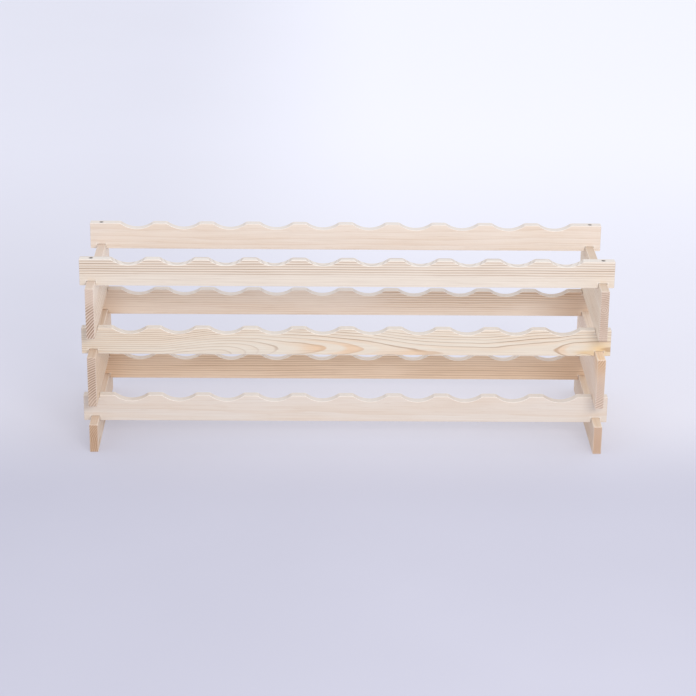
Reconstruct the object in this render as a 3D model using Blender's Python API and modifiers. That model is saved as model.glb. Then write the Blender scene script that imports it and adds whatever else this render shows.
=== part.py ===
"""Stackable pine wine rack: three tiers of scalloped rails notched over cross boards.

Metres, +Z up. X runs along the rails and -Y is the front. The origin is on the floor
under the middle of the rack. Each tier is a pair of rails screwed down onto a pair of
cross boards, and stands loose in the notches of the tier below, so it lifts off.
"""

import math

import bmesh
import bpy
from mathutils import Matrix, Vector

# Bottles
BOTTLES_PER_TIER = 10
BOTTLE_PITCH = 0.090
TROUGH_RADIUS = 0.051
TROUGH_DEPTH = 0.011
SHOULDER_RADIUS = 0.010

# Rails
RAIL_LENGTH = (BOTTLES_PER_TIER + 1) * BOTTLE_PITCH
RAIL_HEIGHT = 0.051
RAIL_THICKNESS = 0.018
RAIL_SPACING = 0.216
RAIL_END = 0.0135
RAIL_CHAMFER = 0.0007
BOTTOM_NOTCH = 0.009
TOP_NOTCH = 0.0055

# Cross boards
BOARD_THICKNESS = 0.016
BOARD_OVERHANG = 0.044
BOARD_LENGTH = RAIL_SPACING + RAIL_THICKNESS + 2 * BOARD_OVERHANG
SIDE_HEIGHT = 0.098
FOOT_HEIGHT = 0.055
BOARD_ROUNDING = 0.0012
BOARD_X = RAIL_LENGTH / 2 - RAIL_END - BOARD_THICKNESS / 2

# Screws
SCREW_LENGTH = 0.060
SCREW_RADIUS = 0.002
SCREW_TIP_LENGTH = 0.007
SCREW_TIP_RADIUS = 0.0005
HEAD_RADIUS = 0.0038
HEAD_RIM = 0.0004
HEAD_RECESS = 0.0005
CROSS_LENGTH = 0.0044
CROSS_WIDTH = 0.0009
CROSS_DEPTH = 0.0014

# Gap between pieces that touch
GAP = 0.0003

# Points closer than this are one point
WELD = 0.00001

# How finely round stretches are cut
TROUGH_SEGMENTS = 8
SHOULDER_SEGMENTS = 3
TURNED_SEGMENTS = 16

# Colours, linear RGB
RAIL_PINE = (0.79, 0.67, 0.54)
BOARD_PINE = (0.74, 0.60, 0.46)
SCREW_BLACK = (0.03, 0.03, 0.035)
WOOD_ROUGHNESS = 0.62
SCREW_ROUGHNESS = 0.45

# Sides and ends, with the sign of their X and Y
SIDES = (("left", -1), ("right", 1))
ENDS = (("front", -1), ("rear", 1))


def clear_scene():
    for obj in list(bpy.data.objects):
        bpy.data.objects.remove(obj, do_unlink=True)


def new_collection(name):
    collection = bpy.data.collections.new(name)
    bpy.context.scene.collection.children.link(collection)
    return collection


def material(name, colour, roughness, metallic):
    made = bpy.data.materials.new(name)
    made.use_nodes = True
    shader = made.node_tree.nodes["Principled BSDF"]
    shader.inputs["Base Color"].default_value = (*colour, 1.0)
    shader.inputs["Roughness"].default_value = roughness
    shader.inputs["Metallic"].default_value = metallic
    made.diffuse_color = (*colour, 1.0)
    return made


def place(name, mesh, collection, parent, location):
    """An object of this mesh, or an empty where mesh is None, at a location under its parent."""
    obj = bpy.data.objects.new(name, mesh)
    obj.parent = parent
    obj.location = location
    collection.objects.link(obj)
    return obj


def notch(centre, level, depth):
    """Corners of a notch across the rail at x = centre, left to right, with its mouth at level."""
    half = BOARD_THICKNESS / 2 + GAP
    return [
        (centre - half, level),
        (centre - half, level + depth),
        (centre + half, level + depth),
        (centre + half, level),
    ]


def trough(centre):
    """A bottle trough left to right: shoulder, arc, shoulder, each arc tangent to the next."""
    reach = TROUGH_RADIUS + SHOULDER_RADIUS
    turn = math.acos((reach - TROUGH_DEPTH) / reach)
    shoulder_x = reach * math.sin(turn)
    arc_z = RAIL_HEIGHT - TROUGH_DEPTH + TROUGH_RADIUS
    shoulder_z = RAIL_HEIGHT - SHOULDER_RADIUS
    right = []
    for i in range(TROUGH_SEGMENTS // 2):
        angle = turn * 2 * i / TROUGH_SEGMENTS
        right.append((TROUGH_RADIUS * math.sin(angle), arc_z - TROUGH_RADIUS * math.cos(angle)))
    for i in range(SHOULDER_SEGMENTS + 1):
        angle = turn * (1 - i / SHOULDER_SEGMENTS)
        x = shoulder_x - SHOULDER_RADIUS * math.sin(angle)
        right.append((x, shoulder_z + SHOULDER_RADIUS * math.cos(angle)))
    left = [(-x, z) for x, z in reversed(right[1:])]
    return [(centre + x, z) for x, z in left + right]


def rail_outline(top_notch):
    """The rail seen from the front, anticlockwise from its lower left corner."""
    half = RAIL_LENGTH / 2
    points = [(-half, 0.0)]
    for x in (-BOARD_X, BOARD_X):
        points += notch(x, 0.0, BOTTOM_NOTCH)
    points += [(half, 0.0), (half, RAIL_HEIGHT)]
    top = []
    if top_notch:
        top += notch(-BOARD_X, RAIL_HEIGHT, -top_notch)
    for i in range(BOTTLES_PER_TIER):
        top += trough((i - (BOTTLES_PER_TIER - 1) / 2) * BOTTLE_PITCH)
    if top_notch:
        top += notch(BOARD_X, RAIL_HEIGHT, -top_notch)
    return points + top[::-1] + [(-half, RAIL_HEIGHT)]


def sheet_mesh(name, outline, thickness, chamfer):
    """An upright sheet of the outline's shape, its faces towards -Y and +Y, as a closed mesh."""
    curve = bpy.data.curves.new(name, "CURVE")
    curve.dimensions = "2D"
    curve.fill_mode = "BOTH"
    curve.extrude = thickness / 2 - chamfer
    curve.bevel_depth = chamfer
    curve.bevel_resolution = 0
    curve.offset = -chamfer
    spline = curve.splines.new("POLY")
    spline.points.add(len(outline) - 1)
    for point, (x, z) in zip(spline.points, outline):
        point.co = (x, z, 0.0, 1.0)
    spline.use_cyclic_u = True
    flat = bpy.data.objects.new(name, curve)
    bpy.context.scene.collection.objects.link(flat)
    graph = bpy.context.evaluated_depsgraph_get()
    mesh = bpy.data.meshes.new_from_object(flat.evaluated_get(graph))
    mesh.name = name
    bpy.data.objects.remove(flat, do_unlink=True)
    bpy.data.curves.remove(curve)
    work = bmesh.new()
    work.from_mesh(mesh)
    bmesh.ops.remove_doubles(work, verts=work.verts, dist=WELD)
    refill_caps(work, thickness / 2)
    stand_up = Matrix.Rotation(math.pi / 2, 3, "X")
    bmesh.ops.rotate(work, cent=(0.0, 0.0, 0.0), matrix=stand_up, verts=work.verts)
    bmesh.ops.recalc_face_normals(work, faces=work.faces)
    work.to_mesh(mesh)
    work.free()
    return mesh


def refill_caps(work, height):
    """Makes each cap one face and halves it at mid length, so no sliver lies along level edges."""
    caps = [face for face in work.faces if abs(face.calc_center_median().z) > height - WELD]
    bmesh.ops.delete(work, geom=caps, context="FACES")
    rims = [edge for edge in work.edges if edge.is_boundary]
    bmesh.ops.holes_fill(work, edges=rims, sides=0)
    everything = work.verts[:] + work.edges[:] + work.faces[:]
    middle = (0.0, 0.0, 0.0)
    bmesh.ops.bisect_plane(work, geom=everything, plane_co=middle, plane_no=(1.0, 0.0, 0.0))


def block_mesh(name, width, depth, height):
    """A block that stands on z = 0, centred on the other two axes."""
    work = bmesh.new()
    bmesh.ops.create_cube(work, size=1.0)
    bmesh.ops.scale(work, vec=(width, depth, height), verts=work.verts)
    bmesh.ops.translate(work, vec=(0.0, 0.0, height / 2), verts=work.verts)
    mesh = bpy.data.meshes.new(name)
    work.to_mesh(mesh)
    work.free()
    return mesh


def turned(name, profile, collection, parent, location):
    """A profile of (radius, z) points, listed from the top down, turned about its own Z axis."""
    mesh = bpy.data.meshes.new(name)
    edges = [(i, i + 1) for i in range(len(profile) - 1)]
    mesh.from_pydata([(radius, 0.0, z) for radius, z in profile], edges, [])
    obj = place(name, mesh, collection, parent, location)
    spin = obj.modifiers.new("Turn", "SCREW")
    spin.steps = TURNED_SEGMENTS
    spin.render_steps = TURNED_SEGMENTS
    spin.use_merge_vertices = True
    spin.merge_threshold = WELD
    return obj


def screw_profile(grow, rise):
    """The screw's outline with its head's face at z = 0, grown by a gap and raised above the head."""
    seat = HEAD_RIM + HEAD_RADIUS - SCREW_RADIUS
    return [
        (0.0, rise),
        (HEAD_RADIUS + grow, rise),
        (HEAD_RADIUS + grow, -HEAD_RIM),
        (SCREW_RADIUS + grow, -seat),
        (SCREW_RADIUS + grow, SCREW_TIP_LENGTH - SCREW_LENGTH),
        (SCREW_TIP_RADIUS + grow, -SCREW_LENGTH - grow),
        (0.0, -SCREW_LENGTH - grow),
    ]


def cut(obj, cutter):
    """Cuts the cutter out of obj. The cutter is only a guide, so it isn't rendered."""
    cutter.hide_render = True
    cutter.display_type = "WIRE"
    boolean = obj.modifiers.new("Cut " + cutter.name, "BOOLEAN")
    boolean.operation = "DIFFERENCE"
    boolean.solver = "EXACT"
    boolean.object = cutter


def cross_mesh():
    """The cross-shaped recess of a screw head, from its floor to as far above the head's face."""
    arm = CROSS_LENGTH / 2
    half = CROSS_WIDTH / 2
    work = bmesh.new()
    rim = []
    for quarter in range(4):
        turn = Matrix.Rotation(math.pi / 2 * quarter, 3, "Z")
        for x, y in ((arm, -half), (arm, half), (half, half)):
            rim.append(work.verts.new(turn @ Vector((x, y, -CROSS_DEPTH))))
    floor = work.faces.new(rim)
    raised = bmesh.ops.extrude_face_region(work, geom=[floor])
    top = [item for item in raised["geom"] if isinstance(item, bmesh.types.BMVert)]
    bmesh.ops.translate(work, vec=(0.0, 0.0, 2 * CROSS_DEPTH), verts=top)
    bmesh.ops.recalc_face_normals(work, faces=work.faces)
    mesh = bpy.data.meshes.new("screw_cross")
    work.to_mesh(mesh)
    work.free()
    return mesh


def make_board(name, height, side, tier):
    mesh = block_mesh(name, BOARD_THICKNESS, BOARD_LENGTH, height)
    mesh.materials.append(material(name + "_pine", BOARD_PINE, WOOD_ROUGHNESS, 0.0))
    board = place(name, mesh, PARTS, tier, (side * BOARD_X, 0.0, 0.0))
    rounding = board.modifiers.new("Eased edges", "BEVEL")
    rounding.width = BOARD_ROUNDING
    rounding.segments = 2
    return board


def make_rail(name, top_notch, end, level, tier):
    mesh = sheet_mesh(name, rail_outline(top_notch), RAIL_THICKNESS, RAIL_CHAMFER)
    mesh.materials.clear()
    mesh.materials.append(material(name + "_pine", RAIL_PINE, WOOD_ROUGHNESS, 0.0))
    mesh.shade_smooth()
    mesh.set_sharp_from_angle(angle=math.radians(30))
    return place(name, mesh, PARTS, tier, (0.0, end * RAIL_SPACING / 2, level))


def make_screw(name, location, tier):
    """A cross-recessed countersunk screw. Returns the cutter that bores the room for it."""
    screw = turned(name, screw_profile(0.0, 0.0), PARTS, tier, location)
    screw.data.materials.append(material(name + "_steel", SCREW_BLACK, SCREW_ROUGHNESS, 1.0))
    cut(screw, place(name + "_recess", CROSS, CUTTERS, tier, location))
    return turned(name + "_bore", screw_profile(GAP, 2 * HEAD_RECESS), CUTTERS, tier, location)


def make_tier(name, board_name, board_height, top_notch, parent, rise):
    """One tier, standing this far above its parent. Returns its empty and the next one's rise."""
    tier = place(name + "_tier", None, PARTS, parent, (0.0, 0.0, rise))
    rail_level = board_height + GAP - BOTTOM_NOTCH
    head_level = rail_level + RAIL_HEIGHT - top_notch - HEAD_RECESS
    boards = {}
    for side, side_sign in SIDES:
        boards[side] = make_board(f"{board_name}_{side}", board_height, side_sign, tier)
    for end, end_sign in ENDS:
        rail = make_rail(f"{name}_rail_{end}", top_notch, end_sign, rail_level, tier)
        for side, side_sign in SIDES:
            spot = (side_sign * BOARD_X, end_sign * RAIL_SPACING / 2, head_level)
            bore = make_screw(f"{name}_screw_{end}_{side}", spot, tier)
            cut(rail, bore)
            cut(boards[side], bore)
    return tier, rail_level + RAIL_HEIGHT - top_notch + GAP


clear_scene()
PARTS = new_collection("wine_rack")
CUTTERS = new_collection("cutters")
CUTTERS.hide_render = True
CROSS = cross_mesh()

base, above_base = make_tier("bottom", "foot", FOOT_HEIGHT, TOP_NOTCH, None, 0.0)
middle, above_middle = make_tier("middle", "lower_side", SIDE_HEIGHT, TOP_NOTCH, base, above_base)
make_tier("top", "upper_side", SIDE_HEIGHT, 0.0, middle, above_middle)
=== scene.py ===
"""The looks of a stackable pine wine rack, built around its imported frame.

Metres, +Z up. X runs along the rails and -Y is the front. Every rail, board and screw
gets a finer mesh than the frame's, at the same size and place, with a wood or steel
material that is worked out in the piece's own coordinates.
"""

import math
from dataclasses import dataclass

import bmesh
import bpy
from mathutils import Matrix, Vector


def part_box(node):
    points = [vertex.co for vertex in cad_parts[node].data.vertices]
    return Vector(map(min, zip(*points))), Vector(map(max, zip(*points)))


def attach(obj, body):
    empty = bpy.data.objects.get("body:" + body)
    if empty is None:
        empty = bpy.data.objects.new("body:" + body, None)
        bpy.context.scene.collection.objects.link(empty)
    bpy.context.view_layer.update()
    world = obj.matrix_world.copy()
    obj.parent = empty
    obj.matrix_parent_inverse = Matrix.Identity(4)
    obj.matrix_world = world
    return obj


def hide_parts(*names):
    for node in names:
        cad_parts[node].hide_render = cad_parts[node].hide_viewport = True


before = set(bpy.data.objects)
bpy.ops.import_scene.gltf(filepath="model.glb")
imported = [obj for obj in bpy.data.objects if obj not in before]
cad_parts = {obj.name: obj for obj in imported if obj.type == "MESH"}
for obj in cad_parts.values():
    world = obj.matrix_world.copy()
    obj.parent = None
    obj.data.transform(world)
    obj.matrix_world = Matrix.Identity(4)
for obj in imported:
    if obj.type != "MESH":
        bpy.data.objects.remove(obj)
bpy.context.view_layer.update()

# Bottle troughs
TROUGHS = 10
TROUGH_RADIUS = 0.051
TROUGH_DEPTH = 0.011
SHOULDER_RADIUS = 0.010
TROUGH_SEGMENTS = 24
SHOULDER_SEGMENTS = 8

# Joinery
GAP = 0.0003
BOTTOM_NOTCH = 0.009
TOP_NOTCH = 0.0055

# Arrises, and the band beside them that handling has worn, which is lightened partly as wear and partly
# as a painted highlight
ARRIS = 0.0009
BOARD_ARRIS = 0.0012
CORNER_RADIUS = 0.0011
ARRIS_STEPS = 4
WORN_BAND = 0.0022

# What counts as a square corner, a worn edge, a sharp edge and a flat face
CORNER_SINE = 0.7
WORN_ANGLE = math.radians(12)
SHARP_ANGLE = math.radians(40)
FLAT_COSINE = 0.999

# Meshing
WELD = 0.00001
BOARD_SECTIONS = 8
TURNED_SEGMENTS = 48

# Screws
SCREW_RADIUS = 0.002
SCREW_TIP_LENGTH = 0.007
SCREW_TIP_RADIUS = 0.0005
SCREW_TURN = 0.53
HEAD_RIM = 0.0004
HEAD_RECESS = 0.0005
HEAD_EASE = 0.0003
HEAD_EASE_DROP = 0.0001
CROSS_LENGTH = 0.0044
CROSS_WIDTH = 0.0009
CROSS_DEPTH = 0.0014
CROSS_TAPER = 0.55

# Features per metre in the pine, along the grain and both ways across it
PATCHES = (3.5, 22.0, 22.0)
WAVES = (2.5, 14.0, 14.0)
RIPPLES = (14.0, 60.0, 60.0)
FIBRES = (9.0, 650.0, 650.0)
DUCTS = (22.0, 900.0, 900.0)
PORES = (120.0, 1500.0, 1500.0)

# Noise strays little from its middle, so the rings' waves and ripples are spread by these
WAVE_SPREAD = 4
RIPPLE_SPREAD = 2

# Levels of the noise between which a feature comes in
PATCH_LEVELS = (0.35, 0.75)
BREAK_LEVELS = (0.35, 0.6)
RUBBED_LEVELS = (0.3, 0.6)
FIBRE_LEVELS = (0.4, 0.8)
DUCT_LEVELS = (0.69, 0.76)
PORE_LEVELS = (0.3, 0.7)

# How squarely a surface faces along the grain, or up, as it turns into an end, or into an upper or
# lower face, which is painted with a sheen on the rails and darker on the boards
END_FACING = (0.25, 0.95)
EDGE_FACING = (0.3, 0.9)

# Through a ring outwards, from 0 to 1: where its line is dark, and where its wood is warm
DARK_STOPS = ((0.88, 1.0), (0.95, 1.0), (1.0, 0.0))
WARM_STOPS = ((0.0, 0.0), (0.35, 0.0), (0.55, 0.9), (0.95, 1.0), (1.0, 0.0))

# How much of a line is left at its faintest, and in wood that glows
FAINTEST_LINE = 0.12
GLOWING_LINE = 0.3

# How the rings swell around a knot, in its radii: their reach along and across it, and how far
KNOT_REACH = (3.2, 1.8)
KNOT_SWELL = 1.6

# The height of the hill that stands for a knot's core, and the levels of it that darken
KNOT_CORE = 1.3
KNOT_LEVELS = (0.35, 0.9)

# The most that each feature tints the pine
PATCH_SHARE = 0.15
WARM_SHARE = 0.6
FIBRE_SHARE = 0.22
DUCT_SHARE = 0.35
KNOT_SHARE = 0.8
# The upper and lower faces' share: a painted sheen on the rails, a darker colour on the boards
EDGE_SHARE = 0.6
END_RING_SHARE = 0.75
# Rubbed arrises are lightened partly as wear and partly as a painted highlight
RUBBED_AND_HIGHLIGHT_SHARE = 0.6

# How much the end grain's colour covers, between its pores and in them
END_SHARES = (0.5, 0.8)

# How rubbed an arris is at the least, and how much of that is left at an end
LEAST_RUBBED = 0.3
END_RUBBED = 0.15

# Colours, roughness and relief that all the pine shares
SEED_STEP = (1.37, 0.71, 0.53)
DUCT_BROWN = (0.42, 0.24, 0.11)
KNOT_BROWN = (0.40, 0.20, 0.07)
END_RING_BROWN = (0.22, 0.12, 0.07)
# The pale of rubbed arrises, partly wear and partly a painted highlight
RUBBED_PALE_AND_HIGHLIGHT = (0.90, 0.84, 0.76)
PINE_ROUGHNESS = (0.56, 0.70)
END_DULLNESS = 0.12
LATE_GLOSS = 0.10
RUBBED_GLOSS = 0.08
GRAIN_RELIEF = 0.00012
PORE_RELIEF = 0.00015
LATE_BUMP = 0.6
FIBRE_BUMP = 0.5
PORE_BUMP = 0.6

# Steel
STEEL_GRAINS = (2600.0, 2600.0, 2600.0)
STEEL_CLOUDS = (420.0, 420.0, 420.0)
STEEL_BLACK = (0.022, 0.021, 0.023)
STEEL_BROWN = (0.055, 0.048, 0.044)
STEEL_RUBBED = (0.20, 0.19, 0.18)
STEEL_ROUGHNESS = (0.36, 0.58)
STEEL_METALLIC = 0.85
STEEL_RELIEF = 0.00004

# Floor, which is lit from below too: its colours, painted paler under and behind the rack as light and
# darker to the left as shade, and the stretches over which they blend
FLOOR_REACH = 9.0
FLOOR_FRONT = (0.350, 0.350, 0.410)
FLOOR_UNDER_PAINTED_LIGHT = (0.475, 0.475, 0.525)
FLOOR_BACK_PAINTED_LIGHT = (0.585, 0.590, 0.640)
FLOOR_LEFT_PAINTED_SHADE = (0.315, 0.315, 0.375)
FLOOR_MOTTLE = (0.60, 0.60, 0.69)
FRONT_TO_UNDER = (-0.38, 0.08)
UNDER_TO_BACK = (0.0, 2.2)
RIGHT_TO_LEFT = (0.2, -0.6)
LEFT_PAINTED_SHADE_SHARE = 0.34
MOTTLE_SHARE = 0.05
MOTTLES = (1.3, 1.3, 1.3)
FLOOR_GLOW = 0.6

# Light
SKY_COLOUR = (0.93, 0.94, 1.0, 1.0)
KEY_PLACE = (0.85, -2.95, 1.75)
KEY_TARGET = (0.0, 0.0, 0.15)
KEY_SIZE = (1.6, 0.8)
KEY_WATTS = 46.0
KEY_COLOUR = (1.0, 0.97, 0.93)

# Camera: a long lens in front of the rack, a little to its left, looking down on it
CAMERA_PLACE = (-0.0676, -3.9406, 1.6706)
CAMERA_LENS = 113.29
CAMERA_HEADING = -0.0183
CAMERA_DIP = 0.3682
CAMERA_ROLL = 0.0116
CAMERA_REACH = 60.0

# Which board stands under each tier's rails
TIERS = (("bottom", "foot"), ("middle", "lower_side"), ("top", "upper_side"))
SIDES = ("left", "right")
ENDS = ("front", "rear")


# Outlines


def notch(centre, level, depth, width):
    """Corners of a notch across a rail at x = centre, left to right, with its mouth at level."""
    half = width / 2 + GAP
    return [
        (centre - half, level),
        (centre - half, level + depth),
        (centre + half, level + depth),
        (centre + half, level),
    ]


def trough(centre, height, inset):
    """A bottle trough left to right, moved into the wood by inset: shoulder, arc, shoulder."""
    reach = TROUGH_RADIUS + SHOULDER_RADIUS
    turn = math.acos((reach - TROUGH_DEPTH) / reach)
    arc_z = height - TROUGH_DEPTH + TROUGH_RADIUS
    shoulder_z = height - SHOULDER_RADIUS
    arc_radius = TROUGH_RADIUS + inset
    shoulder_radius = SHOULDER_RADIUS - inset
    right = []
    for i in range(TROUGH_SEGMENTS // 2):
        angle = turn * 2 * i / TROUGH_SEGMENTS
        right.append((arc_radius * math.sin(angle), arc_z - arc_radius * math.cos(angle)))
    for i in range(SHOULDER_SEGMENTS + 1):
        angle = turn * (1 - i / SHOULDER_SEGMENTS)
        x = reach * math.sin(turn) - shoulder_radius * math.sin(angle)
        right.append((x, shoulder_z + shoulder_radius * math.cos(angle)))
    left = [(-x, z) for x, z in reversed(right[1:])]
    return [(centre + x, z) for x, z in left + right]


def rail_outline(length, height, board_x, board_thickness, top_notch, inset):
    """A rail seen from the front, anticlockwise. Its troughs are inset; its corners aren't yet."""
    half = length / 2
    pitch = length / (TROUGHS + 1)
    points = [(-half, 0.0)]
    for x in (-board_x, board_x):
        points += notch(x, 0.0, BOTTOM_NOTCH, board_thickness)
    points += [(half, 0.0), (half, height)]
    top = []
    if top_notch:
        top += notch(-board_x, height, -top_notch, board_thickness)
    for i in range(TROUGHS):
        top += trough((i - (TROUGHS - 1) / 2) * pitch, height, inset)
    if top_notch:
        top += notch(board_x, height, -top_notch, board_thickness)
    return points + top[::-1] + [(-half, height)]


def turn_at(before, after):
    """The sine of an outline's turn between two directions, positive where it points outwards."""
    return after.x * before.y - after.y * before.x


def inset_corner(corner, before, after, inset):
    """A square corner moved into the wood by inset, as an arc if it points outwards.

    Where a side has room, a point is added on it past the worn band.
    """
    band = CORNER_RADIUS + WORN_BAND
    room_before = before.length > 3 * band
    room_after = after.length > 3 * band
    before = before.normalized()
    after = after.normalized()
    inward = math.copysign(1.0, turn_at(before, after))
    points = []
    if room_before:
        points.append(corner + band * before + inward * inset * after)
    if inward > 0:
        radius = max(CORNER_RADIUS - inset, 0.0)
        centre = corner + (inset + radius) * (before + after)
        for step in range(ARRIS_STEPS + 1):
            angle = math.pi / 2 * step / ARRIS_STEPS
            points.append(centre - radius * (math.cos(angle) * after + math.sin(angle) * before))
    else:
        points.append(corner - inset * (before + after))
    if room_after:
        points.append(corner + band * after + inward * inset * before)
    return points


def inset_outline(rail, inset):
    """A rail's whole outline moved into the wood by inset."""
    sharp = rail_outline(*rail, 0.0)
    moved = rail_outline(*rail, inset)
    outline = []
    for i, point in enumerate(sharp):
        corner = Vector(point)
        before = Vector(sharp[i - 1]) - corner
        after = Vector(sharp[(i + 1) % len(sharp)]) - corner
        if abs(turn_at(before.normalized(), after.normalized())) < CORNER_SINE:
            outline.append(Vector(moved[i]))
        else:
            outline += inset_corner(corner, before, after, inset)
    return outline


def rail_section(thickness):
    """Steps of (inset, y) across a rail's edge, from its rear face round to its front face."""
    half = thickness / 2
    rear = [(ARRIS + WORN_BAND, half)]
    for step in range(ARRIS_STEPS + 1):
        angle = math.pi / 2 * step / ARRIS_STEPS
        rear.append((ARRIS * (1 - math.sin(angle)), half - ARRIS * (1 - math.cos(angle))))
    rear.append((0.0, half - ARRIS - WORN_BAND))
    return rear + [(inset, -y) for inset, y in reversed(rear)]


def screw_profile(length, head_radius, grow, rise):
    """A countersunk screw's outline with its head's face at z = 0, grown by a gap and raised."""
    seat = HEAD_RIM + head_radius - SCREW_RADIUS
    return [
        (0.0, rise),
        (head_radius + grow - HEAD_EASE, rise),
        (head_radius + grow, rise - HEAD_EASE_DROP),
        (head_radius + grow, -HEAD_RIM),
        (SCREW_RADIUS + grow, -seat),
        (SCREW_RADIUS + grow, SCREW_TIP_LENGTH - length),
        (SCREW_TIP_RADIUS + grow, -length - grow),
        (0.0, -length - grow),
    ]


# Meshes


def new_object(name, mesh, location=(0.0, 0.0, 0.0)):
    obj = bpy.data.objects.new(name, mesh)
    bpy.context.scene.collection.objects.link(obj)
    obj.location = location
    return obj


def bisect(work, x):
    """Adds a loop of edges across the mesh at x."""
    everything = work.verts[:] + work.edges[:] + work.faces[:]
    bmesh.ops.bisect_plane(work, geom=everything, plane_co=(x, 0.0, 0.0), plane_no=(1.0, 0.0, 0.0))


def finished_mesh(work, name):
    """The mesh with its worn edges marked for the materials, shaded smooth up to its arrises."""
    bmesh.ops.recalc_face_normals(work, faces=work.faces)
    worn = work.verts.layers.float.new("worn")
    for vert in work.verts:
        normals = [face.normal for face in vert.link_faces]
        widest = max(a.angle(b, 0.0) for a in normals for b in normals)
        vert[worn] = 1.0 if widest > WORN_ANGLE else 0.0
    mesh = bpy.data.meshes.new(name)
    work.to_mesh(mesh)
    work.free()
    mesh.shade_smooth()
    mesh.set_sharp_from_angle(angle=SHARP_ANGLE)
    return mesh


def rail_mesh(name, rail, thickness, crests):
    """A rail between two faces towards -Y and +Y, with rounded arrises all the way round.

    Its faces are split at each x in crests.
    """
    work = bmesh.new()
    rows = []
    for inset, y in rail_section(thickness):
        rows.append([work.verts.new((x, y, z)) for x, z in inset_outline(rail, inset)])
    for row, following in zip(rows, rows[1:]):
        for i in range(len(row)):
            work.faces.new((row[i - 1], row[i], following[i], following[i - 1]))
    bmesh.ops.remove_doubles(work, verts=work.verts, dist=WELD)
    rims = [edge for edge in work.edges if edge.is_boundary]
    bmesh.ops.holes_fill(work, edges=rims, sides=0)
    for x in crests:
        bisect(work, x)
    return finished_mesh(work, name)


def board_mesh(name, length, thickness, height):
    """A board along X that stands on z = 0, with rounded arrises."""
    work = bmesh.new()
    bmesh.ops.create_cube(work, size=1.0)
    bmesh.ops.scale(work, vec=(length, thickness, height), verts=work.verts)
    bmesh.ops.translate(work, vec=(0.0, 0.0, height / 2), verts=work.verts)
    bmesh.ops.bevel(
        work,
        geom=work.edges[:],
        offset=BOARD_ARRIS,
        segments=ARRIS_STEPS,
        profile=0.5,
        affect="EDGES",
    )
    flats = [face for face in work.faces if max(map(abs, face.normal)) > FLAT_COSINE]
    bmesh.ops.inset_individual(work, faces=flats, thickness=WORN_BAND)
    for i in range(1, BOARD_SECTIONS):
        bisect(work, (i / BOARD_SECTIONS - 0.5) * length)
    return finished_mesh(work, name)


def turned_mesh(name, profile):
    """A profile of (radius, z) points, listed from the top down, turned about its Z axis."""
    work = bmesh.new()
    verts = [work.verts.new((radius, 0.0, z)) for radius, z in profile]
    edges = [work.edges.new(pair) for pair in zip(verts, verts[1:])]
    bmesh.ops.spin(
        work,
        geom=verts + edges,
        axis=(0.0, 0.0, 1.0),
        cent=(0.0, 0.0, 0.0),
        angle=2 * math.pi,
        steps=TURNED_SEGMENTS,
        use_merge=True,
    )
    bmesh.ops.remove_doubles(work, verts=work.verts, dist=WELD)
    return finished_mesh(work, name)


def cross_mesh():
    """The tapered cross that a screwdriver fits, from its floor to above the head's face."""
    work = bmesh.new()
    arm = CROSS_LENGTH / 2
    half = CROSS_WIDTH / 2
    rim = []
    for quarter in range(4):
        turn = Matrix.Rotation(math.pi / 2 * quarter, 3, "Z")
        for x, y in ((arm, -half), (arm, half), (half, half)):
            rim.append(work.verts.new(turn @ Vector((x, y, 0.0))))
    face = work.faces.new(rim)
    lower = bmesh.ops.extrude_face_region(work, geom=[face])
    floor = [item for item in lower["geom"] if isinstance(item, bmesh.types.BMVert)]
    bmesh.ops.translate(work, vec=(0.0, 0.0, -CROSS_DEPTH), verts=floor)
    bmesh.ops.scale(work, vec=(CROSS_TAPER, CROSS_TAPER, 1.0), verts=floor)
    upper = [vert for vert in work.verts if vert not in floor]
    bmesh.ops.translate(work, vec=(0.0, 0.0, CROSS_DEPTH / 4), verts=upper)
    bmesh.ops.recalc_face_normals(work, faces=work.faces)
    mesh = bpy.data.meshes.new("cross")
    work.to_mesh(mesh)
    work.free()
    return mesh


def cut(obj, cutters):
    """Cuts the cutters out of the object's mesh, and welds the slivers that this leaves."""
    for cutter in cutters:
        boolean = obj.modifiers.new("Cut", "BOOLEAN")
        boolean.operation = "DIFFERENCE"
        boolean.solver = "MANIFOLD"
        boolean.object = cutter
    bpy.context.view_layer.update()
    graph = bpy.context.evaluated_depsgraph_get()
    mesh = bpy.data.meshes.new_from_object(obj.evaluated_get(graph))
    obj.modifiers.clear()
    work = bmesh.new()
    work.from_mesh(mesh)
    bmesh.ops.remove_doubles(work, verts=work.verts, dist=WELD)
    work.to_mesh(mesh)
    work.free()
    obj.data = mesh


def dress(obj, material):
    """Gives the object its only material, and shades its flats flat and its arrises round."""
    obj.data.materials.clear()
    obj.data.materials.append(material)
    normals = obj.modifiers.new("Weighted normals", "WEIGHTED_NORMAL")
    normals.keep_sharp = True


# Materials


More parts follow.
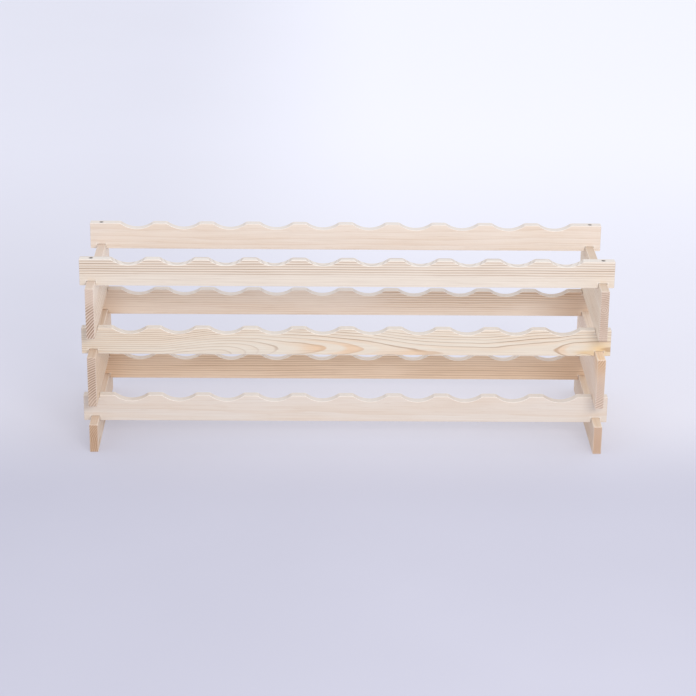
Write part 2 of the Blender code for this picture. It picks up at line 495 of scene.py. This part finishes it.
class Nodes:
    """A material's node tree, with a short call for each kind of node that is used here."""

    def __init__(self, name):
        self.material = bpy.data.materials.new(name)
        self.material.use_nodes = True
        self.tree = self.material.node_tree
        self.shader = self.tree.nodes["Principled BSDF"]

    def put(self, value, socket):
        """Sets a socket to a number or colour, or links it to another node's output."""
        if isinstance(value, bpy.types.NodeSocket):
            self.tree.links.new(value, socket)
        else:
            socket.default_value = value

    def surface(self, colour, roughness, normal):
        """Gives the shader what varies over the surface."""
        self.put(colour, self.shader.inputs["Base Color"])
        self.put(roughness, self.shader.inputs["Roughness"])
        self.put(normal, self.shader.inputs["Normal"])

    def source(self):
        """The piece's own coordinates, and the direction that its surface faces in them."""
        node = self.tree.nodes.new("ShaderNodeTexCoord")
        return node.outputs["Object"], node.outputs["Normal"]

    def axes(self, vector):
        node = self.tree.nodes.new("ShaderNodeSeparateXYZ")
        self.put(vector, node.inputs[0])
        return node.outputs

    def worn(self):
        """1 on the edges that finished_mesh marked, 0 elsewhere."""
        node = self.tree.nodes.new("ShaderNodeAttribute")
        node.attribute_name = "worn"
        return node.outputs["Fac"]

    def maths(self, operation, *values):
        node = self.tree.nodes.new("ShaderNodeMath")
        node.operation = operation
        for value, socket in zip(values, node.inputs):
            self.put(value, socket)
        return node.outputs[0]

    def times(self, first, second):
        return self.maths("MULTIPLY", first, second)

    def total(self, values):
        result = values[0]
        for value in values[1:]:
            result = self.maths("ADD", result, value)
        return result

    def squared(self, first, second):
        """The sum of two squares."""
        return self.maths("ADD", self.maths("POWER", first, 2.0), self.maths("POWER", second, 2.0))

    def vector(self, operation, *values):
        node = self.tree.nodes.new("ShaderNodeVectorMath")
        node.operation = operation
        for value, socket in zip(values, node.inputs):
            self.put(value, socket)
        return node.outputs[0]

    def noise(self, place, scale, detail=2.0, roughness=0.5):
        """Noise from 0 to 1, centred on 0.5, of features about 1 / scale metres long on each axis."""
        node = self.tree.nodes.new("ShaderNodeTexNoise")
        self.put(self.vector("MULTIPLY", place, scale), node.inputs["Vector"])
        node.inputs["Scale"].default_value = 1.0
        node.inputs["Detail"].default_value = detail
        node.inputs["Roughness"].default_value = roughness
        return node.outputs[0]

    def lottery(self, value):
        """A random number from 0 to 1 for each value."""
        node = self.tree.nodes.new("ShaderNodeTexWhiteNoise")
        node.noise_dimensions = "1D"
        self.put(value, node.inputs["W"])
        return node.outputs["Value"]

    def span(self, value, low, high, to_low=0.0, to_high=1.0, smooth=True):
        """Maps low to high onto to_low to to_high, and holds it there beyond them."""
        node = self.tree.nodes.new("ShaderNodeMapRange")
        node.interpolation_type = "SMOOTHSTEP" if smooth else "LINEAR"
        node.clamp = True
        for socket, number in zip(node.inputs, (value, low, high, to_low, to_high)):
            self.put(number, socket)
        return node.outputs[0]

    def ramp(self, value, stops):
        """A grey level for each value, through (position, level) stops."""
        node = self.tree.nodes.new("ShaderNodeValToRGB")
        elements = node.color_ramp.elements
        while len(elements) < len(stops):
            elements.new(0.5)
        for element, (position, level) in zip(elements, stops):
            element.position = position
            element.color = (level, level, level, 1.0)
        self.put(value, node.inputs["Fac"])
        return node.outputs["Color"]

    def mix(self, share, first, second, blend="MIX"):
        node = self.tree.nodes.new("ShaderNodeMix")
        node.data_type = "RGBA"
        node.blend_type = blend
        self.put(share, node.inputs["Factor"])
        for value, socket in ((first, node.inputs[6]), (second, node.inputs[7])):
            self.put((*value, 1.0) if isinstance(value, tuple) else value, socket)
        return node.outputs[2]

    def bump(self, height, distance, strength, before=None):
        node = self.tree.nodes.new("ShaderNodeBump")
        self.put(height, node.inputs["Height"])
        node.inputs["Distance"].default_value = distance
        node.inputs["Strength"].default_value = strength
        if before:
            self.put(before, node.inputs["Normal"])
        return node.outputs[0]

    def hill(self, x, z, summit, reach, amount):
        """A smooth rise of that amount around a summit, reach wide along and across the piece."""
        along = self.maths("DIVIDE", self.maths("SUBTRACT", x, summit[0]), reach[0])
        across = self.maths("DIVIDE", self.maths("SUBTRACT", z, summit[1]), reach[1])
        falling = self.maths("EXPONENT", self.times(self.squared(along, across), -1.0))
        return self.times(falling, amount)


@dataclass(frozen=True)
class Timber:
    """How one piece was sawn from its log, in its own coordinates: x along the grain, z up.

    A hill is (summit, reach, amount), a span is (low, high, to_low, to_high) along x, and a
    knot is (summit, radius).
    """

    # Which log it is, where its pith lies, as (y, z), how wide a ring is, and where the first starts
    seed: int
    pith: tuple
    ring: float
    start: float = 0.0

    # What bends the rings: spans of the pith's height and of the distance from it, waves, hills
    climbs: tuple = ()
    rises: tuple = ()
    drift: float = 0.002
    ripple: float = 0.0006
    swells: tuple = ()
    knots: tuple = ()

    # Where the rings show: faintly from quiet's first z outwards, fully from its second, less on fades
    quiet: tuple = (-0.02, -0.01)
    unbroken: float = 0.6
    fades: tuple = ()

    # Where the warm wood glows, and how much of it is left elsewhere
    glows: tuple = ()
    soft: float = 1.0

    # How dark the lines are, how alike, and where in each ring they begin
    contrast: float = 0.6
    even: float = 0.25
    line: float = 0.7

    # Colours: young wood (raised on some pieces to paint light into their shade), wood before each
    # line, the lines, end grain, upper and lower faces (a painted sheen on the rails, darker on the
    # boards), and what the hills multiply in (a tint of the wood on some pieces, painted shade at the
    # rear rails' ends)
    pale: tuple = (0.72, 0.61, 0.50)
    warm: tuple = (0.68, 0.47, 0.29)
    dark: tuple = (0.45, 0.27, 0.13)
    end: tuple = (0.36, 0.235, 0.165)
    topside_sheen_and_tone: tuple = (0.75, 0.71, 0.66)
    tan: tuple = (0.70, 0.52, 0.36)
    tint_and_shade_hills: tuple = ()


class Grain:
    """One piece of pine in its node tree: where a point is, and how much of each feature it shows."""

    def __init__(self, nodes, timber):
        place, facing = nodes.source()
        spot = nodes.vector("ADD", place, [timber.seed * step for step in SEED_STEP])
        self.x, y, self.z = nodes.axes(place)
        self.patches = nodes.noise(spot, PATCHES, detail=3.0)
        self.fibre = nodes.noise(spot, FIBRES, detail=3.0, roughness=0.6)
        self.ducts = nodes.span(nodes.noise(spot, DUCTS, detail=1.0), *DUCT_LEVELS)
        self.pores = nodes.noise(spot, PORES, detail=2.0)
        along, _, up = nodes.axes(facing)
        self.end = nodes.span(nodes.maths("ABSOLUTE", along), *END_FACING)
        # Faces that look up or down: on the rails they take a painted sheen, on the boards a darker
        # colour
        self.edge = nodes.span(nodes.maths("ABSOLUTE", up), *EDGE_FACING, 0.0, EDGE_SHARE)
        rings = nodes.maths("DIVIDE", self.from_pith(nodes, timber, spot, y), timber.ring)
        self.late, self.turning = self.lines(nodes, timber, nodes.maths("ADD", rings, timber.start))
        rubbed = nodes.times(nodes.worn(), nodes.span(self.patches, *RUBBED_LEVELS, LEAST_RUBBED, 1.0))
        self.rubbed = nodes.times(rubbed, nodes.span(self.end, 0.0, 1.0, 1.0, END_RUBBED, smooth=False))

    def from_pith(self, nodes, timber, spot, y):
        """The distance from the pith, bent by the log's waves and swollen around its knots."""
        across = nodes.maths("SUBTRACT", y, timber.pith[0])
        above = nodes.maths("SUBTRACT", self.z, timber.pith[1])
        for climb in timber.climbs:
            above = nodes.maths("SUBTRACT", above, nodes.span(self.x, *climb))
        bends = [nodes.maths("SQRT", nodes.squared(across, above))]
        for rise in timber.rises:
            bends.append(nodes.span(self.x, *rise))
        wanders = ((WAVES, timber.drift * WAVE_SPREAD), (RIPPLES, timber.ripple * RIPPLE_SPREAD))
        for scale, size in wanders:
            wander = nodes.maths("SUBTRACT", nodes.noise(spot, scale), 0.5)
            bends.append(nodes.times(wander, size))
        for swell in timber.swells:
            bends.append(nodes.hill(self.x, self.z, *swell))
        for summit, radius in timber.knots:
            reach = [radius * radii for radii in KNOT_REACH]
            bends.append(nodes.hill(self.x, self.z, summit, reach, radius * KNOT_SWELL))
        return nodes.total(bends)

    def lines(self, nodes, timber, rings):
        """The late wood's dark lines, and the warmer wood that leads up to each of them."""
        shown = nodes.span(self.z, *timber.quiet, FAINTEST_LINE, 1.0)
        shown = nodes.times(shown, nodes.span(self.patches, *BREAK_LEVELS, timber.unbroken, 1.0))
        for fade in timber.fades:
            shown = nodes.times(shown, nodes.maths("SUBTRACT", 1.0, nodes.hill(self.x, self.z, *fade)))
        luck = nodes.lottery(nodes.maths("FLOOR", rings))
        weight = nodes.span(luck, 0.0, 1.0, timber.even, 1.0, smooth=False)
        phase = nodes.maths("FRACT", rings)
        late = nodes.ramp(phase, ((0.0, 0.0), (timber.line, 0.0), *DARK_STOPS))
        late = nodes.times(late, nodes.times(weight, shown))
        turning = nodes.times(nodes.ramp(phase, WARM_STOPS), shown)
        if timber.glows:
            glow = nodes.total([nodes.hill(self.x, self.z, *hill) for hill in timber.glows])
            turning = nodes.times(turning, nodes.span(glow, 0.0, 1.0, timber.soft, 1.0, smooth=False))
            late = nodes.times(late, nodes.span(glow, 0.0, 1.0, 1.0, GLOWING_LINE, smooth=False))
        return late, turning


def long_grain(nodes, timber, grain):
    """The colour of a face along the grain: rings, fibres, resin ducts and knots."""
    patches = nodes.span(grain.patches, *PATCH_LEVELS, 0.0, PATCH_SHARE)
    base = nodes.mix(patches, timber.pale, timber.warm)
    ringed = nodes.mix(nodes.times(grain.turning, timber.contrast * WARM_SHARE), base, timber.warm)
    ringed = nodes.mix(nodes.times(grain.late, timber.contrast), ringed, timber.dark)
    streaked = nodes.mix(nodes.span(grain.fibre, *FIBRE_LEVELS, 0.0, FIBRE_SHARE), ringed, timber.dark)
    faced = nodes.mix(nodes.times(grain.ducts, DUCT_SHARE), streaked, DUCT_BROWN)
    for summit, radius in timber.knots:
        core = nodes.hill(grain.x, grain.z, summit, (radius, radius), KNOT_CORE)
        faced = nodes.mix(nodes.span(core, *KNOT_LEVELS, 0.0, KNOT_SHARE), faced, KNOT_BROWN)
    return faced


def end_grain(nodes, timber, grain, faced):
    """The colour of a face across the grain: darker, and speckled with pores."""
    sawn = nodes.mix(nodes.span(grain.pores, *PORE_LEVELS, *END_SHARES), faced, timber.end)
    rings = nodes.times(grain.turning, timber.contrast * END_RING_SHARE)
    return nodes.mix(rings, sawn, END_RING_BROWN)


def pine_colour(nodes, timber, grain):
    """Long grain or end grain, then the upper and lower faces (a painted sheen on the rails, darker on
    the boards), local tints and painted shade, and rubbed arrises, lightened partly as wear and partly
    as painted highlight.
    """
    faced = long_grain(nodes, timber, grain)
    faced = nodes.mix(grain.end, faced, end_grain(nodes, timber, grain, faced))
    # Painted sheen on the rails' upper and lower faces; on the boards these faces are darker
    faced = nodes.mix(grain.edge, faced, timber.topside_sheen_and_tone)
    # Each hill multiplies a colour into its piece: a tint of the wood on some pieces, and painted shade
    # at the rear rails' ends, next to the side boards
    for tan in timber.tint_and_shade_hills:
        faced = nodes.mix(nodes.hill(grain.x, grain.z, *tan), faced, timber.tan, "MULTIPLY")
    # Arrises lightened, partly as wear and partly as a painted highlight
    return nodes.mix(nodes.times(grain.rubbed, RUBBED_AND_HIGHLIGHT_SHARE), faced, RUBBED_PALE_AND_HIGHLIGHT)


def pine_roughness(nodes, grain):
    """Late wood and rubbed arrises are a little glossier, end grain is duller."""
    plain = nodes.span(grain.fibre, 0.2, 0.8, *PINE_ROUGHNESS)
    dull = nodes.maths("ADD", plain, nodes.times(grain.end, END_DULLNESS))
    rough = nodes.maths("SUBTRACT", dull, nodes.times(grain.late, LATE_GLOSS))
    return nodes.maths("SUBTRACT", rough, nodes.times(grain.rubbed, RUBBED_GLOSS))


def pine_relief(nodes, grain):
    """Late wood is harder, so it stands proud after sanding; fibres are fuzzy, end grain pitted."""
    raised = nodes.bump(grain.late, GRAIN_RELIEF, LATE_BUMP)
    fuzzy = nodes.bump(grain.fibre, GRAIN_RELIEF, FIBRE_BUMP, raised)
    return nodes.bump(nodes.times(grain.pores, grain.end), PORE_RELIEF, PORE_BUMP, fuzzy)


def pine(name, timber):
    """Planed, untreated pine."""
    nodes = Nodes(name)
    grain = Grain(nodes, timber)
    colour = pine_colour(nodes, timber, grain)
    nodes.surface(colour, pine_roughness(nodes, grain), pine_relief(nodes, grain))
    nodes.shader.inputs["Specular IOR Level"].default_value = 0.35
    return nodes.material


def phosphate(name):
    """Black phosphated steel, rubbed brighter on its edges."""
    nodes = Nodes(name)
    place, _ = nodes.source()
    grains = nodes.noise(place, STEEL_GRAINS, detail=3.0)
    clouds = nodes.noise(place, STEEL_CLOUDS, detail=2.0)
    colour = nodes.mix(nodes.span(clouds, 0.3, 0.7), STEEL_BLACK, STEEL_BROWN)
    rubbed = nodes.times(nodes.worn(), nodes.span(clouds, 0.4, 0.6, 0.1, 0.5))
    colour = nodes.mix(rubbed, colour, STEEL_RUBBED)
    roughness = nodes.span(grains, 0.3, 0.7, *STEEL_ROUGHNESS)
    nodes.surface(colour, roughness, nodes.bump(grains, STEEL_RELIEF, 0.5))
    nodes.shader.inputs["Metallic"].default_value = STEEL_METALLIC
    return nodes.material


# Timbers, one for each rail and board

RAIL_TIMBER = {
    "top_rail_front": Timber(
        1, (0.015, -0.045), 0.0046, drift=0.001, contrast=1.0, quiet=(0.016, 0.030), even=0.7,
        pale=(0.765, 0.69, 0.59), warm=(0.71, 0.56, 0.42), dark=(0.26, 0.14, 0.07),
    ),
    "top_rail_rear": Timber(2, (0.25, 0.10), 0.0036, contrast=0.15, pale=(0.80, 0.71, 0.62)),
    "middle_rail_front": Timber(
        3, (0.029, 0.0), 0.0034, start=0.16, drift=0.0004, ripple=0.0008, contrast=1.0, line=0.78,
        climbs=(
            (-0.36, -0.12, -0.030, 0.0125), (0.03, 0.16, 0.0, -0.009), (0.25, 0.38, 0.0, 0.009)
        ),
        rises=(
            (-0.12, 0.10, 0.0, 0.0071), (-0.32, -0.10, -0.022, 0.0), (0.385, 0.43, 0.0, -0.0024)
        ),
        swells=(((0.27, 0.01), (0.15, 0.25), 0.0028),),
        fades=(((-0.165, 0.003), (0.08, 0.014), 0.8), ((0.165, 0.002), (0.03, 0.008), 0.5)),
        knots=(((0.445, -0.003), 0.004),),
        tint_and_shade_hills=(((0.475, 0.012), (0.022, 0.02), 0.7), ((0.445, 0.007), (0.018, 0.004), 0.6)),
        tan=(1.0, 0.80, 0.46),
        soft=0.28,
        glows=(
            ((-0.055, 0.0125), (0.035, 0.012), 1.0),
            ((0.01, 0.0125), (0.035, 0.012), 1.2),
            ((0.15, 0.005), (0.05, 0.010), 0.9),
            ((0.40, 0.012), (0.03, 0.010), 0.7),
        ),
        even=0.4, pale=(0.745, 0.675, 0.562), warm=(0.76, 0.45, 0.22), dark=(0.28, 0.15, 0.07),
    ),
    "middle_rail_rear": Timber(
        4, (0.03, 0.09), 0.0042, contrast=1.0, quiet=(-0.03, 0.045), unbroken=0.2, ripple=0.001,
        # Painted shade: darker, warmer ends next to the side boards
        tint_and_shade_hills=(((-0.475, 0.02), (0.035, 0.1), 0.5), ((0.46, 0.02), (0.06, 0.1), 0.5)),
        # Pale raised, partly a warmer wood and partly painted light against the front rails' shade
        pale=(0.82, 0.705, 0.59), dark=(0.32, 0.17, 0.09),
    ),
    "bottom_rail_front": Timber(5, (0.30, 0.05), 0.0032, contrast=0.2, pale=(0.71, 0.64, 0.565)),
    "bottom_rail_rear": Timber(
        6, (0.03, -0.05), 0.0044, contrast=1.0, quiet=(-0.03, 0.045), unbroken=0.3, ripple=0.001,
        # Painted shade: darker, warmer ends next to the side boards
        tint_and_shade_hills=(((-0.475, 0.02), (0.035, 0.1), 0.5), ((0.46, 0.02), (0.06, 0.1), 0.35)),
        # Pale raised, partly a warmer wood and partly painted light against the front rails' shade
        pale=(0.85, 0.67, 0.50), dark=(0.32, 0.15, 0.06),
    ),
}
BOARD_TIMBER = {
    "upper_side_left": Timber(
        # Pale raised as painted light against the shade on this board's inner face
        11, (-0.06, -0.03), 0.0045, contrast=1.0, quiet=(0.075, 0.05), pale=(0.90, 0.82, 0.72),
        end=(0.52, 0.37, 0.28), topside_sheen_and_tone=(0.55, 0.41, 0.32),
    ),
    "upper_side_right": Timber(
        # Pale raised as painted light against the shade on this board's inner face
        12, (0.001, 0.062), 0.0042, contrast=0.5, pale=(0.86, 0.755, 0.62), end=(0.48, 0.345, 0.27),
        topside_sheen_and_tone=(0.56, 0.45, 0.36),
    ),
    "lower_side_left": Timber(
        13, (-0.06, -0.04), 0.0042, contrast=0.9, pale=(0.78, 0.64, 0.50), end=(0.54, 0.41, 0.32),
        topside_sheen_and_tone=(0.56, 0.42, 0.32),
    ),
    "lower_side_right": Timber(
        # Pale raised as painted light against the shade on this board's inner face
        14, (0.06, 0.13), 0.0042, contrast=0.5, pale=(0.88, 0.755, 0.64), end=(0.54, 0.41, 0.33),
        topside_sheen_and_tone=(0.78, 0.66, 0.54), tint_and_shade_hills=(((-0.155, 0.09), (0.035, 0.03), 0.8),), tan=(1.0, 0.84, 0.62),
    ),
    "foot_left": Timber(
        15, (-0.05, 0.01), 0.0036, end=(0.45, 0.25, 0.12), topside_sheen_and_tone=(0.62, 0.46, 0.34)
    ),
    "foot_right": Timber(
        16, (0.05, -0.04), 0.0036, end=(0.53, 0.33, 0.21), topside_sheen_and_tone=(0.70, 0.55, 0.41)
    ),
}


# Pieces


def stand_for(piece, node, body):
    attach(piece, body)
    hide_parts(node)


def middle_of(node):
    """A node's middle in plan, at its lowest level, and its size."""
    low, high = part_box(node)
    return Vector(((low.x + high.x) / 2, (low.y + high.y) / 2, low.z)), high - low


def screw_places(tier):
    """Each screw of a tier: its node, the middle of its head's face, its length, its head's radius."""
    places = []
    for end in ENDS:
        for side in SIDES:
            node = f"{tier}_screw_{end}_{side}"
            low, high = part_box(node)
            head = Vector(((low.x + high.x) / 2, (low.y + high.y) / 2, high.z))
            places.append((node, head, high.z - low.z, (high.x - low.x) / 2))
    return places


def build_screw(node, head, length, radius, turn, body, steel):
    """A screw whose recess is turned away from the X axis, as a driver happens to leave it."""
    mesh = turned_mesh(node + "_black", screw_profile(length, radius, 0.0, 0.0))
    screw = new_object(node + "_black", mesh, head)
    cross = new_object("cross", cross_mesh(), head)
    cross.rotation_euler = (0.0, 0.0, turn)
    cut(screw, [cross])
    bpy.data.objects.remove(cross, do_unlink=True)
    dress(screw, steel)
    stand_for(screw, node, body)


def build_board(node, body, bores):
    place, size = middle_of(node)
    mesh = board_mesh(node + "_pine", size.y, size.x, size.z)
    board = new_object(node + "_pine", mesh, place)
    board.rotation_euler = (0.0, 0.0, math.pi / 2)
    cut(board, bores)
    dress(board, pine(node + "_pine", BOARD_TIMBER[node]))
    stand_for(board, node, body)


def build_rail(node, tier, body, bores):
    place, size = middle_of(node)
    board_middle, board_size = middle_of(dict(TIERS)[tier] + "_right")
    top_notch = 0.0 if tier == "top" else TOP_NOTCH
    shape = (size.x, size.z, board_middle.x, board_size.x, top_notch)
    pitch = size.x / (TROUGHS + 1)
    crests = [(i - TROUGHS / 2) * pitch for i in range(TROUGHS + 1)]
    mesh = rail_mesh(node + "_pine", shape, size.y, crests)
    rail = new_object(node + "_pine", mesh, place)
    cut(rail, bores)
    dress(rail, pine(node + "_pine", RAIL_TIMBER[node]))
    stand_for(rail, node, body)


def build_bores(places):
    """Cutters for a tier's screws: each is its screw, a gap larger and open above the head."""
    bores = []
    for node, head, length, radius in places:
        profile = screw_profile(length, radius, GAP, 2 * HEAD_RECESS)
        bores.append(new_object(node + "_bore", turned_mesh(node + "_bore", profile), head))
    return bores


def build_tier(tier, board, steel):
    body = tier + "_tier"
    places = screw_places(tier)
    bores = build_bores(places)
    for side in SIDES:
        build_board(f"{board}_{side}", body, bores)
    for end in ENDS:
        build_rail(f"{tier}_rail_{end}", tier, body, bores)
    for bore in bores:
        bpy.data.objects.remove(bore, do_unlink=True)
    for i, (node, head, length, radius) in enumerate(places):
        build_screw(node, head, length, radius, SCREW_TURN * (i + 1), body, steel)


# Stage


def floor_material():
    """A translucent photo table, lit from below as well, so it takes only soft, pale shadows; its
    colour also paints light under and behind the rack, and shade to its left.
    """
    nodes = Nodes("floor_paper")
    place, _ = nodes.source()
    x, y, _ = nodes.axes(place)
    near = nodes.span(y, *FRONT_TO_UNDER)
    back = nodes.span(y, *UNDER_TO_BACK)
    left = nodes.span(x, *RIGHT_TO_LEFT, 0.0, LEFT_PAINTED_SHADE_SHARE)
    mottle = nodes.noise(place, MOTTLES, detail=3.0)
    # Painted light under and behind the rack, and painted shade to its left
    tone = nodes.mix(near, FLOOR_FRONT, FLOOR_UNDER_PAINTED_LIGHT)
    tone = nodes.mix(back, tone, FLOOR_BACK_PAINTED_LIGHT)
    tone = nodes.mix(left, tone, FLOOR_LEFT_PAINTED_SHADE)
    tone = nodes.mix(nodes.span(mottle, 0.3, 0.7, 0.0, MOTTLE_SHARE), tone, FLOOR_MOTTLE)
    nodes.put(tone, nodes.shader.inputs["Base Color"])
    nodes.put(tone, nodes.shader.inputs["Emission Color"])
    nodes.shader.inputs["Emission Strength"].default_value = FLOOR_GLOW
    nodes.shader.inputs["Roughness"].default_value = 0.9
    nodes.shader.inputs["Specular IOR Level"].default_value = 0.1
    return nodes.material


def build_floor():
    work = bmesh.new()
    bmesh.ops.create_grid(work, x_segments=8, y_segments=8, size=FLOOR_REACH)
    mesh = bpy.data.meshes.new("floor")
    work.to_mesh(mesh)
    work.free()
    floor = new_object("floor", mesh)
    floor.data.materials.append(floor_material())


def build_world():
    world = bpy.data.worlds.new("studio")
    bpy.context.scene.world = world
    world.use_nodes = True
    background = world.node_tree.nodes["Background"]
    background.inputs["Color"].default_value = SKY_COLOUR
    background.inputs["Strength"].default_value = 1.0


def build_key_light():
    """A soft box in front of the rack, to its right."""
    light = bpy.data.lights.new("key", "AREA")
    light.shape = "RECTANGLE"
    light.size, light.size_y = KEY_SIZE
    light.energy = KEY_WATTS
    light.color = KEY_COLOUR
    lamp = new_object("key", light, KEY_PLACE)
    aim = Vector(KEY_TARGET) - Vector(KEY_PLACE)
    lamp.rotation_euler = aim.to_track_quat("-Z", "Y").to_euler()


def build_camera():
    camera = new_object("camera", bpy.data.cameras.new("camera"))
    camera.data.lens = CAMERA_LENS
    camera.data.clip_end = CAMERA_REACH
    heading = Matrix.Rotation(CAMERA_HEADING, 4, "Z")
    dip = Matrix.Rotation(math.pi / 2 - CAMERA_DIP, 4, "X")
    roll = Matrix.Rotation(CAMERA_ROLL, 4, "Z")
    camera.matrix_world = Matrix.Translation(CAMERA_PLACE) @ heading @ dip @ roll
    bpy.context.scene.camera = camera


steel = phosphate("screw_steel")
for tier, board in TIERS:
    build_tier(tier, board, steel)
build_floor()
build_world()
build_camera()
build_key_light()
bpy.context.scene.view_settings.view_transform = "Standard"

bpy.context.view_layer.update()
